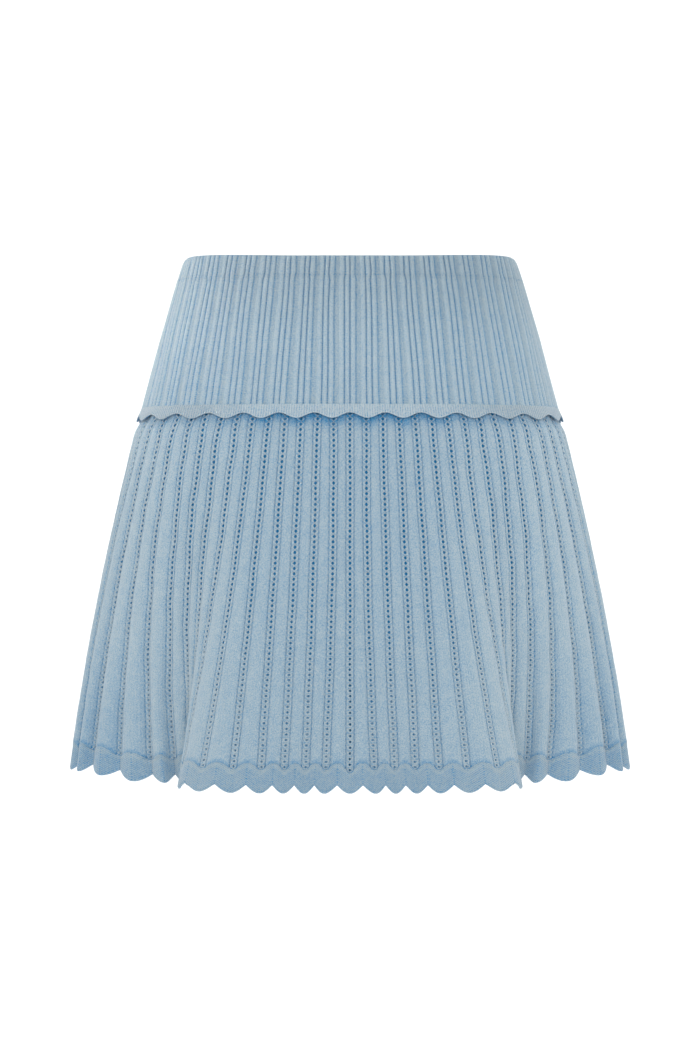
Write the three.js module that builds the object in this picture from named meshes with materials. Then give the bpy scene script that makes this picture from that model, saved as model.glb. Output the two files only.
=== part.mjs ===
// A knit mini skirt in its worn form: an elasticated waistband, a ribbed yoke that ends in a
// scalloped trim, and a flared skirt of openwork columns that comes out from under the yoke and
// ends in a scalloped border. Millimetres, +Z up, the front faces -Y.
// The origin is the centre of the waist opening, level with the top edge.

import * as THREE from 'three';

// Heights of the seams and edges, measured down from the top edge.
const BAND_DEPTH = 14;
const YOKE_MIDDLE = 55;
const YOKE_END = 106.2;
const TRIM_VALLEY = 112.4;
const TRIM_SCALLOP = 3.8;
const SKIRT_START = 84;
const SKIRT_SHOWS = 121;
const BORDER_SEAM = 357;
const BORDER_SEAM_WAVE = 2;
const HEM_VALLEY = 368.8;
const HEM_SCALLOP = 5.7;
const HEM_RISE_AT_SIDES = 5;
const RISE_STARTS = 11;
const RISE_BLEND = 2.4;
const HEM_LEVEL = HEM_VALLEY + HEM_SCALLOP;

// Cloth.
const SEAM_GAP = 0.3;
const BAND_THICKNESS = 4;
const BAND_ROLL = 1.6;
const YOKE_THICKNESS = 2.4;
const RIB_HEIGHT = 1.2;
const TRIM_THICKNESS = 1.8;
const TRIM_FLARE = 1.2;
const SKIRT_THICKNESS = 2;
const COLUMN_GROOVE = 0.9;
const SKIRT_TUCK = 2.9;
const TUCK_ENDS = 112;
const TUCK_FADES_OVER = 14;

// Repeats in a quarter of the way round, from centre front to side seam and on to centre back.
const RIBS_PER_QUARTER = 12;
const SCALLOPS_PER_QUARTER = 8;
const COLUMNS_PER_QUARTER = 17.5;

// Outer sections of the worn form down to where the skirt shows: half width, depths to the
// front and back of the widest line, and how square the corners are.
const SECTIONS = [
  { down: 0, half: 122.6, front: 80, back: 86, squareness: 3.3 },
  { down: 14, half: 127.5, front: 82, back: 89, squareness: 3.1 },
  { down: 55, half: 139.7, front: 87, back: 98, squareness: 2.9 },
  { down: 106, half: 153.3, front: 91.5, back: 106, squareness: 2.8 },
  { down: 121, half: 157.8, front: 93, back: 108, squareness: 2.8 },
];

// The knit is stretched a little less in front and behind than at the sides.
const SIDE_STRETCH = 0.04;

// Where each openwork column of a front quarter runs, halfway down the flare and at the hem:
// across from the centre line, and ahead of the widest line. Columns 7 to 10 are the deep fold.
const FLARE_LINES = [
  { column: 0, midAcross: 0, midAhead: 130, hemAcross: 0, hemAhead: 164 },
  { column: 1, midAcross: 12.7, midAhead: 130, hemAcross: 17.5, hemAhead: 164 },
  { column: 2, midAcross: 26.3, midAhead: 130, hemAcross: 31.2, hemAhead: 164 },
  { column: 3, midAcross: 39.9, midAhead: 130, hemAcross: 45.5, hemAhead: 163 },
  { column: 4, midAcross: 54, midAhead: 129, hemAcross: 61.8, hemAhead: 162 },
  { column: 5, midAcross: 69.3, midAhead: 126, hemAcross: 81.8, hemAhead: 158 },
  { column: 6, midAcross: 84.6, midAhead: 120, hemAcross: 104.3, hemAhead: 148 },
  { column: 7, midAcross: 97.4, midAhead: 109, hemAcross: 119.1, hemAhead: 128 },
  { column: 8, midAcross: 106.3, midAhead: 98, hemAcross: 110, hemAhead: 110 },
  { column: 9, midAcross: 115.2, midAhead: 90, hemAcross: 109, hemAhead: 90 },
  { column: 10, midAcross: 127.6, midAhead: 83, hemAcross: 123.7, hemAhead: 82 },
  { column: 11, midAcross: 142.8, midAhead: 72, hemAcross: 140, hemAhead: 80 },
  { column: 12, midAcross: 157.2, midAhead: 59, hemAcross: 164.8, hemAhead: 67 },
  { column: 13, midAcross: 170.2, midAhead: 44, hemAcross: 186.2, hemAhead: 52 },
  { column: 14, midAcross: 180, midAhead: 33, hemAcross: 196, hemAhead: 42 },
  { column: 16, midAcross: 183.2, midAhead: 12, hemAcross: 199.8, hemAhead: 17 },
  { column: 17.5, midAcross: 183.4, midAhead: 0, hemAcross: 200.4, hemAhead: 0 },
];
// The back's flare against the front's, halfway down and at the hem.
const BACK_TO_FRONT = { mid: 1.1, hem: 1.04 };

// How far the panels between the columns belly out at the hem, in front, in the deep fold and
// on the fluted sides.
const BELLY = { front: 1, fold: 3, side: 6.5 };
const FOLD_STARTS = 6;
const SIDES_START = 9.4;
const BELLY_BLEND = 1.4;
const BELLY_GROWTH = 1.2;

const CLOTH_BLUE = 0xa3bfd0;

const clamp = (value) => Math.min(1, Math.max(0, value));
const smooth = (value) => clamp(value) ** 2 * (3 - 2 * clamp(value));
const mix = (from, to, share) => from + (to - from) * share;

// A value from a table's rows, straight between them and on past the last.
function between(rows, along, key, at) {
  let row = 1;
  while (row < rows.length - 1 && rows[row][along] < at) row += 1;
  const [low, high] = [rows[row - 1], rows[row]];
  return mix(low[key], high[key], (at - low[along]) / (high[along] - low[along]));
}

// A smooth curve through a quarter's flare lines. The quarter mirrors at both ends: widths
// change sign at the centre line, depths change sign at the side seam.
function flareLine(key, column) {
  const last = FLARE_LINES.length - 1;
  const isAcross = key.endsWith('Across');
  const row = (index) => {
    if (index < 0) {
      const mirrored = FLARE_LINES[-index];
      return { at: -mirrored.column, value: isAcross ? -mirrored[key] : mirrored[key] };
    }
    if (index > last) {
      const mirrored = FLARE_LINES[2 * last - index];
      const value = isAcross ? mirrored[key] : -mirrored[key];
      return { at: 2 * COLUMNS_PER_QUARTER - mirrored.column, value };
    }
    return { at: FLARE_LINES[index].column, value: FLARE_LINES[index][key] };
  };
  let index = 0;
  while (index < last - 1 && FLARE_LINES[index + 1].column <= column) index += 1;
  const [before, from, to, after] = [-1, 0, 1, 2].map((offset) => row(index + offset));
  const span = to.at - from.at;
  const share = (column - from.at) / span;
  const slopeFrom = ((to.value - before.value) / (to.at - before.at)) * span;
  const slopeTo = ((after.value - from.value) / (after.at - from.at)) * span;
  return (
    from.value * (1 - 3 * share ** 2 + 2 * share ** 3) +
    to.value * (3 * share ** 2 - 2 * share ** 3) +
    slopeFrom * (share - 2 * share ** 2 + share ** 3) +
    slopeTo * (share ** 3 - share ** 2)
  );
}

// A quarter of a section as a line of points with their distances along it, from the centre
// line to the side.
const quarters = new Map();
function quarter(half, depth, squareness) {
  const name = `${half.toFixed(3)},${depth.toFixed(3)}`;
  if (quarters.has(name)) return quarters.get(name);
  const steps = 160;
  const points = [];
  let length = 0;
  for (let step = 0; step <= steps; step += 1) {
    const turn = (step / steps) * (Math.PI / 2);
    const reach =
      ((Math.sin(turn) / half) ** squareness + (Math.cos(turn) / depth) ** squareness) **
      (-1 / squareness);
    const point = { across: reach * Math.sin(turn), ahead: reach * Math.cos(turn) };
    if (step > 0) {
      const previous = points[step - 1];
      length += Math.hypot(point.across - previous.across, point.ahead - previous.ahead);
    }
    points.push({ ...point, length });
  }
  quarters.set(name, points);
  return points;
}

// Round the body, a station is 0 at centre front, 1 at the side seam and 2 at centre back,
// and negative on the other side.
function sectionPoint(station, down) {
  const isBack = Math.abs(station) > 1;
  const half = between(SECTIONS, 'down', 'half', down);
  const depth = between(SECTIONS, 'down', isBack ? 'back' : 'front', down);
  const points = quarter(half, depth, between(SECTIONS, 'down', 'squareness', down));
  const share = isBack ? 2 - Math.abs(station) : Math.abs(station);
  const eased = share * (1 - SIDE_STRETCH * (1 - share ** 2));
  const length = eased * points[points.length - 1].length;
  const across = between(points, 'length', 'across', length);
  const ahead = between(points, 'length', 'ahead', length);
  return [Math.sign(station) * across, isBack ? ahead : -ahead];
}

// The skirt's plan at a depth: the section it starts from, carried through the middle of the
// flare to the hem along the flare lines.
function flaredPoint(station, down) {
  if (down <= SKIRT_SHOWS) return sectionPoint(station, down);
  const isBack = Math.abs(station) > 1;
  const column = (isBack ? 2 - Math.abs(station) : Math.abs(station)) * COLUMNS_PER_QUARTER;
  const fall = (down - SKIRT_SHOWS) / (HEM_LEVEL - SKIRT_SHOWS);
  const [top, mid, hem] = [(1 - fall) * (1 - 2 * fall), 4 * fall * (1 - fall), fall * (2 * fall - 1)];
  const [startX, startY] = sectionPoint(station, SKIRT_SHOWS);
  const side = Math.sign(station);
  const facing = (ratio) => (isBack ? ratio : -1);
  const across =
    mid * side * flareLine('midAcross', column) + hem * side * flareLine('hemAcross', column);
  const ahead =
    mid * facing(BACK_TO_FRONT.mid) * flareLine('midAhead', column) +
    hem * facing(BACK_TO_FRONT.hem) * flareLine('hemAhead', column);
  return [top * startX + across, top * startY + ahead];
}

// A point on the plan, moved out along the plan's own normal.
function offset(plan, station, down, out) {
  const step = 0.004;
  const wrap = (value) => (value > 2 ? value - 4 : value < -2 ? value + 4 : value);
  const [x, y] = plan(station, down);
  const [nextX, nextY] = plan(wrap(station + step), down);
  const [lastX, lastY] = plan(wrap(station - step), down);
  const run = Math.hypot(nextX - lastX, nextY - lastY);
  return [x + ((nextY - lastY) / run) * out, y - ((nextX - lastX) / run) * out, -down];
}

// The rib pattern over one repeat, going out from the centre: a groove, a narrow rib, a second
// groove, a broad rib, a third groove and a last rib. 1 is a rib's crown and 0 the bottom of
// a groove.
const RIB_PROFILE = [
  { share: 0, height: 0 },
  { share: 0.13, height: 1 },
  { share: 0.26, height: 0 },
  { share: 0.48, height: 1 },
  { share: 0.72, height: 0 },
  { share: 0.86, height: 1 },
];

// How far along its quarter a station is, counted from the nearer centre line, in repeats.
const fromCentre = (station, perQuarter) =>
  (Math.abs(station) > 1 ? 2 - Math.abs(station) : Math.abs(station)) * perQuarter;

function ribHeight(station) {
  const repeat = fromCentre(station, RIBS_PER_QUARTER);
  const rows = [...RIB_PROFILE, { share: 1, height: 0 }];
  return between(rows, 'share', 'height', repeat - Math.floor(repeat));
}

// The scallops of the trim have a valley at each centre line and side seam.
const trimWave = (station) => (1 - Math.cos(2 * Math.PI * station * SCALLOPS_PER_QUARTER)) / 2;

// The hem's scallops hang from the columns in front and from the panels on the fluted sides.
function hemScallop(station) {
  const column = fromCentre(station, COLUMNS_PER_QUARTER);
  const shift = 0.5 * smooth((column - 7.2) / 2.4);
  return Math.abs(Math.cos(Math.PI * (column + shift)));
}

// The hem is a little higher at the sides.
function sideRise(station) {
  const column = fromCentre(station, COLUMNS_PER_QUARTER);
  return HEM_RISE_AT_SIDES * smooth((column - RISE_STARTS) / RISE_BLEND);
}

const hemEdge = (station) => HEM_VALLEY - sideRise(station) + HEM_SCALLOP * hemScallop(station);

const seamLine = (station) =>
  BORDER_SEAM -
  sideRise(station) +
  BORDER_SEAM_WAVE * Math.cos(2 * Math.PI * fromCentre(station, COLUMNS_PER_QUARTER));

// How far a panel bellies out between its columns.
function belly(station, down) {
  const column = fromCentre(station, COLUMNS_PER_QUARTER);
  const inFold = smooth((column - FOLD_STARTS) / BELLY_BLEND);
  const onSide = smooth((column - SIDES_START) / BELLY_BLEND);
  const most = mix(mix(BELLY.front, BELLY.fold, inFold), BELLY.side, onSide);
  const fall = clamp((down - SKIRT_SHOWS) / (HEM_LEVEL - SKIRT_SHOWS));
  return most * fall ** BELLY_GROWTH * Math.abs(Math.sin(Math.PI * column));
}

const tuck = (down) => SKIRT_TUCK * (1 - smooth((down - TUCK_ENDS) / TUCK_FADES_OVER));

const skirtFace = (station, down, out) =>
  offset(flaredPoint, station, down, belly(station, down) - tuck(down) + out);

function columnGroove(station) {
  const column = fromCentre(station, COLUMNS_PER_QUARTER);
  return 1 - Math.min(1, 4 * Math.abs(column - Math.round(column)));
}

// A wall of cloth between an outer and an inner face. Stations run to the right as seen from
// outside and rows run down; the inner face takes every step-th station. A wall that doesn't
// close on itself gets an edge at each end.
function clothWall({ stations, rows, outside, inside, step, closes }) {
  const outerCount = stations.length;
  const innerStations = stations.filter((_, index) => index % step === 0);
  const innerCount = innerStations.length;
  const rowCount = rows.length;
  const positions = [];
  rows.forEach((row) => stations.forEach((at) => positions.push(...outside(at, row))));
  rows.forEach((row) => innerStations.forEach((at) => positions.push(...inside(at, row))));
  const outer = (row, index) => row * outerCount + (index % outerCount);
  const inner = (row, index) => rowCount * outerCount + row * innerCount + (index % innerCount);
  const faces = [];
  const quad = (a, b, c, d) => faces.push(a, b, c, a, c, d);
  const outerSpans = closes ? outerCount : outerCount - 1;
  const innerSpans = closes ? innerCount : innerCount - 1;
  for (let row = 0; row < rowCount - 1; row += 1) {
    for (let at = 0; at < outerSpans; at += 1) {
      quad(outer(row, at), outer(row + 1, at), outer(row + 1, at + 1), outer(row, at + 1));
    }
    for (let at = 0; at < innerSpans; at += 1) {
      quad(inner(row, at), inner(row, at + 1), inner(row + 1, at + 1), inner(row + 1, at));
    }
  }
  const end = rowCount - 1;
  for (let at = 0; at < innerSpans; at += 1) {
    for (let fan = at * step; fan < (at + 1) * step; fan += 1) {
      faces.push(outer(0, fan), outer(0, fan + 1), inner(0, at));
      faces.push(outer(end, fan + 1), outer(end, fan), inner(end, at));
    }
    faces.push(inner(0, at), outer(0, (at + 1) * step), inner(0, at + 1));
    faces.push(inner(end, at), inner(end, at + 1), outer(end, (at + 1) * step));
  }
  if (!closes) {
    const [lastOuter, lastInner] = [outerCount - 1, innerCount - 1];
    for (let row = 0; row < end; row += 1) {
      quad(outer(row + 1, 0), outer(row, 0), inner(row, 0), inner(row + 1, 0));
      quad(
        outer(row, lastOuter),
        outer(row + 1, lastOuter),
        inner(row + 1, lastInner),
        inner(row, lastInner),
      );
    }
  }
  const geometry = new THREE.BufferGeometry();
  geometry.setAttribute('position', new THREE.Float32BufferAttribute(positions, 3));
  geometry.setIndex(faces);
  geometry.computeVertexNormals();
  return geometry;
}

// The stations of every groove and crown in a quarter, from a centre line towards the side.
function ribStations() {
  const found = [];
  for (let repeat = 0; repeat < RIBS_PER_QUARTER; repeat += 1) {
    RIB_PROFILE.forEach((row) => found.push((repeat + row.share) / RIBS_PER_QUARTER));
  }
  return found;
}

// Stations at given shares of every repeat of a quarter-based pattern, from one station to
// another, both included, in order.
function patternStations(from, to, perQuarter, shares) {
  const found = [];
  const first = Math.floor(from * perQuarter) - 1;
  const last = Math.ceil(to * perQuarter) + 1;
  for (let repeat = first; repeat <= last; repeat += 1) {
    shares.forEach((share) => found.push((repeat + share) / perQuarter));
  }
  const nearest = 1e-6;
  const kept = found.filter((at) => at > from + nearest && at < to - nearest);
  return [from, ...kept, to];
}

const wrapped = (station) => (station > 2 ? station - 4 : station);

// A panel is the front or the back half between the side seams, with half a seam gap at each.
const PANELS = [
  { side: 'front', middle: 0 },
  { side: 'back', middle: 2 },
];
const QUARTER_LENGTH = 190;
const SEAM_STATION = SEAM_GAP / 2 / QUARTER_LENGTH;

const clothMaterial = () =>
  new THREE.MeshStandardMaterial({ color: CLOTH_BLUE, roughness: 0.95, metalness: 0 });

function piece(name, geometry) {
  const mesh = new THREE.Mesh(geometry, clothMaterial());
  mesh.name = name;
  return mesh;
}

// The waistband: the ribbed cloth folded over an elastic, one tube all the way round.
function waistband() {
  const [centre, ...outward] = ribStations();
  const toBack = [...outward, 1, ...outward.map((at) => 2 - at).reverse()];
  const stations = [centre, ...toBack, 2, ...toBack.map((at) => -at).reverse()];
  const rows = [
    { down: 0, in: BAND_ROLL },
    { down: BAND_ROLL, in: 0 },
    { down: BAND_DEPTH - SEAM_GAP / 2, in: 0 },
  ];
  const face = (station, row, out) => offset(sectionPoint, station, row.down, out);
  return clothWall({
    stations,
    rows,
    step: 4,
    closes: true,
    outside: (station, row) => face(station, row, -row.in - RIB_HEIGHT * (1 - ribHeight(station))),
    inside: (station, row) => face(station, row, row.in / 2 - BAND_THICKNESS),
  });
}

// The yoke: ribs raised outside, plain inside.
function yoke({ middle }) {
  const [centre, ...outward] = ribStations();
  const toSeam = [...outward, 1 - SEAM_STATION];
  const stations = [...toSeam.map((at) => -at).reverse(), centre, ...toSeam];
  const rows = [BAND_DEPTH + SEAM_GAP / 2, YOKE_MIDDLE, YOKE_END - SEAM_GAP / 2];
  const face = (station, down, out) => {
    const at = wrapped(middle + station);
    return offset(sectionPoint, at, down, out);
  };
  return clothWall({
    stations,
    rows,
    step: 4,
    closes: false,
    outside: (station, down) =>
      face(station, down, -RIB_HEIGHT * (1 - ribHeight(wrapped(middle + station)))),
    inside: (station, down) => face(station, down, -YOKE_THICKNESS),
  });
}

// The trim that ends the yoke: plain cloth that stands off the skirt and ends in scallops.
function trim({ middle }) {
  const edge = 1 - SEAM_STATION;
  const shares = [0, 1, 2, 3, 4, 5].map((step) => step / 6);
  const face = (station, share, out) => {
    const at = wrapped(middle + station);
    const end = TRIM_VALLEY + TRIM_SCALLOP * trimWave(at);
    const down = mix(YOKE_END + SEAM_GAP / 2, end, share);
    return offset(sectionPoint, at, down, TRIM_FLARE * share + out);
  };
  return clothWall({
    stations: patternStations(-edge, edge, SCALLOPS_PER_QUARTER, shares),
    rows: [0, 1],
    step: 1,
    closes: false,
    outside: (station, share) => face(station, share, 0),
    inside: (station, share) => face(station, share, -TRIM_THICKNESS),
  });
}

// The stations of a skirt piece: its columns, and the quarters of the panels between them.
function skirtStations() {
  const edge = 1 - SEAM_STATION;
  return patternStations(-edge, edge, COLUMNS_PER_QUARTER, [0, 0.25, 0.5, 0.75]);
}

// A skirt panel: panels that belly out between grooved columns, from under the yoke down to
// the border.
function skirtPanel({ middle }) {
  const shares = [0, 0.1, 0.15, 0.32, 0.52, 0.76, 1];
  const face = (station, share, out) => {
    const at = wrapped(middle + station);
    const down = mix(SKIRT_START, seamLine(at) - SEAM_GAP / 2, share);
    return skirtFace(at, down, out);
  };
  return clothWall({
    stations: skirtStations(),
    rows: shares,
    step: 2,
    closes: false,
    outside: (station, share) =>
      face(station, share, -COLUMN_GROOVE * columnGroove(wrapped(middle + station))),
    inside: (station, share) => face(station, share, -SKIRT_THICKNESS),
  });
}

// The border that ends the skirt, from its arched seam to its scalloped edge.
function border({ middle }) {
  const face = (station, share, out) => {
    const at = wrapped(middle + station);
    const down = mix(seamLine(at) + SEAM_GAP / 2, hemEdge(at), share);
    return skirtFace(at, down, out);
  };
  return clothWall({
    stations: skirtStations(),
    rows: [0, 1],
    step: 2,
    closes: false,
    outside: (station, share) => face(station, share, 0),
    inside: (station, share) => face(station, share, -SKIRT_THICKNESS),
  });
}

const skirt = new THREE.Group();
skirt.add(piece('waistband', waistband()));
PANELS.forEach((panel) => {
  skirt.add(piece(`yoke_${panel.side}`, yoke(panel)));
  skirt.add(piece(`yoke_trim_${panel.side}`, trim(panel)));
  skirt.add(piece(`skirt_${panel.side}`, skirtPanel(panel)));
  skirt.add(piece(`hem_border_${panel.side}`, border(panel)));
});

export default skirt;
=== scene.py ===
"""The knit mini skirt as it looks: a fine shell of knitted cloth in the place of each solid.

The form is worked out in millimetres, as the solids are, and turned into metres when a mesh
gets its points. A station is a place round the skirt: 0 at centre front, 1 and -1 at the sides
and 2 at centre back. Down and level are how far below the top edge a place lies.
"""

import math

import bmesh
import bpy
import numpy as np
from mathutils import Matrix, Vector


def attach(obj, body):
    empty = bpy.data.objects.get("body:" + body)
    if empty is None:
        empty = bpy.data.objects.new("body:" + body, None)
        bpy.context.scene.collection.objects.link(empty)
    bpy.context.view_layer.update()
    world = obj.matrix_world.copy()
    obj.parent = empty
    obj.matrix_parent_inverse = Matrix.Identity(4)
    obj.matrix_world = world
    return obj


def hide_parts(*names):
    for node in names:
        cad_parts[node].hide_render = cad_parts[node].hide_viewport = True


MM = 0.001
ROOT = "root"
SEED = 7

# Heights of the seams and edges, measured down from the top edge.
BAND_DEPTH = 14.0
YOKE_END = 106.2
TRIM_VALLEY = 112.4
TRIM_SCALLOP = 3.8
SKIRT_START = 84.0
SKIRT_SHOWS = 121.0
BORDER_SEAM = 357.0
SEAM_POINT_AT_CENTRE = 3.6
SEAM_POINT = 1.6
SEAM_ARCH_AT_CENTRE = 7.2
SEAM_ARCH = 4.6
SEAM_POINT_BLUNTNESS = 0.27
SEAM_CENTRE_WIDTH = 0.9
HEM_VALLEY = 368.8
HEM_SCALLOP = 5.7
SCALLOP_SHIFT_STARTS = 7.2
SCALLOP_SHIFT_BLEND = 2.4
HEM_RISE_AT_SIDES = 5.0
RISE_STARTS = 11.0
RISE_BLEND = 2.4
FLARE_DEPTH = HEM_VALLEY + HEM_SCALLOP - SKIRT_SHOWS

# Cloth.
SEAM_GAP = 0.3
BAND_THICKNESS = 4.0
YOKE_THICKNESS = 2.4
RIB_HEIGHT = 1.2
TRIM_THICKNESS = 1.8
TRIM_FLARE = 1.2
SKIRT_THICKNESS = 2.0
RIM_RISE = 2.2
CASING_PINCH = 0.25
CASING_PINCH_REACH = 1.2
BORDER_RIM = 0.6
BORDER_SINK = 0.15
SKIRT_TUCK = 2.9
TUCK_ENDS = 112.0
TUCK_FADES_OVER = 14.0

# Repeats in a quarter of the way round.
RIBS_PER_QUARTER = 12
SCALLOPS_PER_QUARTER = 8
COLUMNS_PER_QUARTER = 17.5
COLUMNS_PER_PANEL = 35
QUARTER_LENGTH = 190.0

# Outer sections of the worn form: down, half width, depth in front, depth behind, squareness.
SECTION_ROWS = np.array(
    [
        (0.0, 122.6, 80.0, 86.0, 3.3),
        (14.0, 127.5, 82.0, 89.0, 3.1),
        (55.0, 139.7, 87.0, 98.0, 2.9),
        (106.0, 153.3, 91.5, 106.0, 2.8),
        (121.0, 157.8, 93.0, 108.0, 2.8),
    ]
)
SIDE_STRETCH = 0.04

# Where each openwork column of a front quarter runs: its number, then across and ahead halfway
# down the flare, and across and ahead at the hem.
FLARE_ROWS = np.array(
    [
        (0, 0, 130, 0, 164),
        (1, 12.7, 130, 17.5, 164),
        (2, 26.3, 130, 31.2, 164),
        (3, 39.9, 130, 45.5, 163),
        (4, 54, 129, 61.8, 162),
        (5, 69.3, 126, 81.8, 158),
        (6, 84.6, 120, 104.3, 148),
        (7, 97.4, 109, 119.1, 128),
        (8, 106.3, 98, 110, 110),
        (9, 115.2, 90, 109, 90),
        (10, 127.6, 83, 123.7, 82),
        (11, 142.8, 72, 140, 80),
        (12, 157.2, 59, 164.8, 67),
        (13, 170.2, 44, 186.2, 52),
        (14, 180, 33, 196, 42),
        (16, 183.2, 12, 199.8, 17),
        (17.5, 183.4, 0, 200.4, 0),
    ]
)
BACK_MID = 1.1
BACK_HEM = 1.04
BELLY_FRONT = 1.0
BELLY_FOLD = 3.0
BELLY_SIDE = 6.5
FOLD_STARTS = 6.0
SIDES_START = 9.4
FLUTES_START = 10.3
BELLY_BLEND = 1.4
BELLY_GROWTH = 1.2

# Knit gauge.
COURSE = 1.04
WALES_PER_RIB_REPEAT = 12
WALES_PER_PANEL = 12
EYELET_ROWS = 74
COURSES_PER_EYELET = 4
TRIM_WALES = 14

# The camera, level with the middle of the skirt, and the stage.
CAMERA_DISTANCE = 2.0
CAMERA_HEIGHT = -0.1918
VIEW_HEIGHT = 0.777
SENSOR = 36.0
FLOOR_LEVEL = -1.1

# Colours: each cloth's, the stitches', the blue of the painted shade deep in every groove, hole and
# fold, and the black that the painted neutral shade darkens towards.
RIB_BLUE = (0.37, 0.46, 0.52)
PANEL_BLUE = (0.415, 0.505, 0.56)
BORDER_BLUE = (0.335, 0.415, 0.468)
TRIM_BLUE = (0.44, 0.52, 0.57)
LINKING_BLUE = (0.22, 0.4, 0.56)
CASING_BLUE = (0.09, 0.25, 0.43)
SHADE_BLUE = (0.012, 0.2, 0.43)
BLACK = (0.0, 0.0, 0.0)
PAPER_WHITE = (0.95, 0.95, 0.95)

# The ribs, in shares of their repeat: where each groove lies, how wide and how deep it is, and
# from where to where each rib and the low band run. The places are the mesh's, close together
# in the grooves.
GROOVES = ((0.0, 0.045, 1.0), (0.27, 0.045, 0.85), (0.745, 0.045, 0.95), (1.0, 0.045, 1.0))
RIBS = ((0.0, 0.27), (0.5, 0.745), (0.745, 1.0))
LOW_BAND = (0.27, 0.45)
LOW_BAND_EDGES = (0.05, 0.08)
RIB_ROUNDNESS = 0.8
RIB_PLACES = (
    (0, 0.02, 0.04, 0.07, 0.11, 0.16, 0.2, 0.23, 0.25, 0.27, 0.29, 0.31, 0.35, 0.41, 0.46)
    + (0.5, 0.54, 0.6, 0.66, 0.7, 0.725, 0.745, 0.765, 0.79, 0.83, 0.88, 0.93, 0.96, 0.98, 1)
)

VISIBLE_GAP = 0.004
CRISP_ANGLE = math.radians(55)
TILE_WELD = 0.0005
SEAM_WELD = 0.02 * MM

# What the finishes read: the painted shade of an inner face, the lane of a cloth without columns,
# and the distance from the edge where a cloth has no row of dots.
INSIDE_SHADE = 0.6
NO_LANE = 9.0
FAR_FROM_EDGE = 20.0


def smooth(value):
    value = np.clip(value, 0.0, 1.0)
    return value * value * (3.0 - 2.0 * value)


def mix(low, high, share):
    return low + (high - low) * share


def bell(distance, width):
    """1 at no distance, falling to nearly nothing at twice the width."""
    return np.exp(-((distance / width) ** 2))


def fall_share(down):
    """How far down the flare a level lies: 0 where it starts below the yoke and 1 at the hem."""
    return np.clip((down - SKIRT_SHOWS) / FLARE_DEPTH, 0, 1)


def wrapped(station):
    """A station within the way round, from -2 to 2."""
    return np.where(station > 2, station - 4, np.where(station < -2, station + 4, station))


def superellipse_quarter(half, depth, squareness, shares):
    """Points of a section's quarter at shares of its length, from the centre line outwards."""
    turn = np.linspace(0, math.pi / 2, 241)
    reach = ((np.sin(turn) / half) ** squareness + (np.cos(turn) / depth) ** squareness) ** (
        -1 / squareness
    )
    across = reach * np.sin(turn)
    ahead = reach * np.cos(turn)
    length = np.concatenate([[0], np.cumsum(np.hypot(np.diff(across), np.diff(ahead)))])
    at = shares * (1 - SIDE_STRETCH * (1 - shares**2)) * length[-1]
    return np.interp(at, length, across), np.interp(at, length, ahead)


def section_tables():
    """Grids of section points by level and share, for the front and for the back."""
    levels = np.linspace(0, SKIRT_SHOWS, 45)
    shares = np.linspace(0, 1, 241)
    tables = []
    for depth_column in (2, 3):
        rows = []
        for level in levels:
            half, depth, squareness = (
                np.interp(level, SECTION_ROWS[:, 0], SECTION_ROWS[:, column])
                for column in (1, depth_column, 4)
            )
            rows.append(superellipse_quarter(half, depth, squareness, shares))
        tables.append(np.array(rows))
    return tables


SECTION_TABLES = section_tables()


def flare_curves():
    """The flare rows as smooth curves. Widths mirror in the centre line, depths at the side."""
    knots = FLARE_ROWS[:, 0]
    at = np.linspace(0, COLUMNS_PER_QUARTER, 1401)
    curves = []
    for column in range(1, 5):
        values = FLARE_ROWS[:, column]
        is_across = column in (1, 3)
        before = (-knots[1], -values[1] if is_across else values[1])
        after = (2 * COLUMNS_PER_QUARTER - knots[-2], values[-2] if is_across else -values[-2])
        xs = np.concatenate([[before[0]], knots, [after[0]]])
        ys = np.concatenate([[before[1]], values, [after[1]]])
        slopes = (ys[2:] - ys[:-2]) / (xs[2:] - xs[:-2])
        row = np.clip(np.searchsorted(knots, at, side="right") - 1, 0, len(knots) - 2)
        span = knots[row + 1] - knots[row]
        share = (at - knots[row]) / span
        curves.append(
            values[row] * (1 - 3 * share**2 + 2 * share**3)
            + values[row + 1] * (3 * share**2 - 2 * share**3)
            + slopes[row] * span * (share - 2 * share**2 + share**3)
            + slopes[row + 1] * span * (share**3 - share**2)
        )
    return at, curves


FLARE_AT, FLARE_CURVES = flare_curves()


def from_centre(station, per_quarter):
    station = np.abs(wrapped(station))
    return np.where(station > 1, 2 - station, station) * per_quarter


def section_point(station, down):
    """The section's outer point at a station and level, down to where the skirt shows."""
    station, down = np.broadcast_arrays(wrapped(np.asarray(station, float)), down)
    share = from_centre(station, 1.0)
    table_shape = SECTION_TABLES[0].shape
    level = np.clip(down / SKIRT_SHOWS, 0, 1) * (table_shape[0] - 1)
    column = share * (table_shape[2] - 1)
    row = np.minimum(level.astype(int), table_shape[0] - 2)
    place = np.minimum(column.astype(int), table_shape[2] - 2)
    level_share = level - row
    place_share = column - place
    is_back = np.abs(station) > 1

    def read(axis):
        found = []
        for table in SECTION_TABLES:
            grid = table[:, axis, :]
            upper = mix(grid[row, place], grid[row, place + 1], place_share)
            lower = mix(grid[row + 1, place], grid[row + 1, place + 1], place_share)
            found.append(mix(upper, lower, level_share))
        return np.where(is_back, found[1], found[0])

    return np.sign(station) * read(0), np.where(is_back, read(1), -read(1))


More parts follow.
